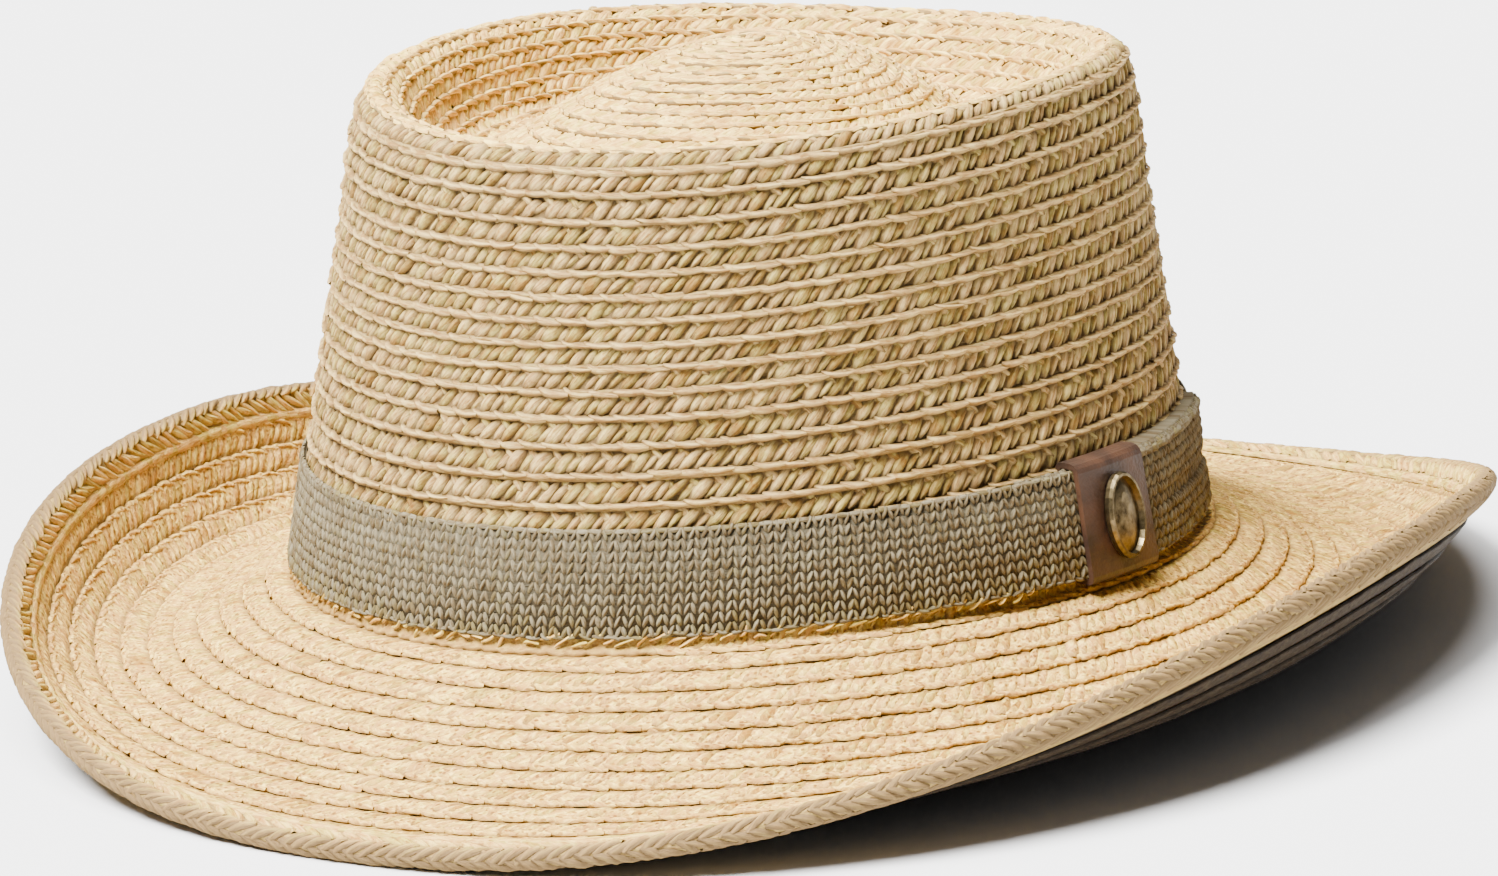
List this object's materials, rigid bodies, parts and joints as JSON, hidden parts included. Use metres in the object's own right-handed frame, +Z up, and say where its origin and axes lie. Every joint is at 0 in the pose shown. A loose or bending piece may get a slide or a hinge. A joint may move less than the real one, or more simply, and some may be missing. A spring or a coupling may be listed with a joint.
{
  "type": "gambler hat",
  "caption": "Wide-brimmed sewn straw hat with a telescope crown, curled brim, knit band and a leather keeper with an oval brass stud.",
  "frame": {"origin": "middle of the hat's bounding box in plan, at the level of the surface that the brim stands on", "axes": "+Z up, -Y the front of the hat, +X the wearer's left, where the leather keeper is"},
  "size_m": [0.2898, 0.3358, 0.1249],
  "materials": {
    "straw_crown": "sewn raffia braid, matt, natural cream and tan",
    "straw_brim": "sewn raffia braid, matt, natural cream",
    "straw_edge": "folded raffia braid, matt, natural cream",
    "knit": "matt grey-khaki knit",
    "leather": "smooth brown leather, slight sheen",
    "antique_brass": "antique brass, worn bright on the rim"
  },
  "bodies": {
    "root": {"crown": "straw_crown", "brim": "straw_brim", "edge_braid": "straw_edge", "hat_band": "knit", "leather_keeper": "leather", "ornament": "antique_brass"}
  },
  "joints": []
}
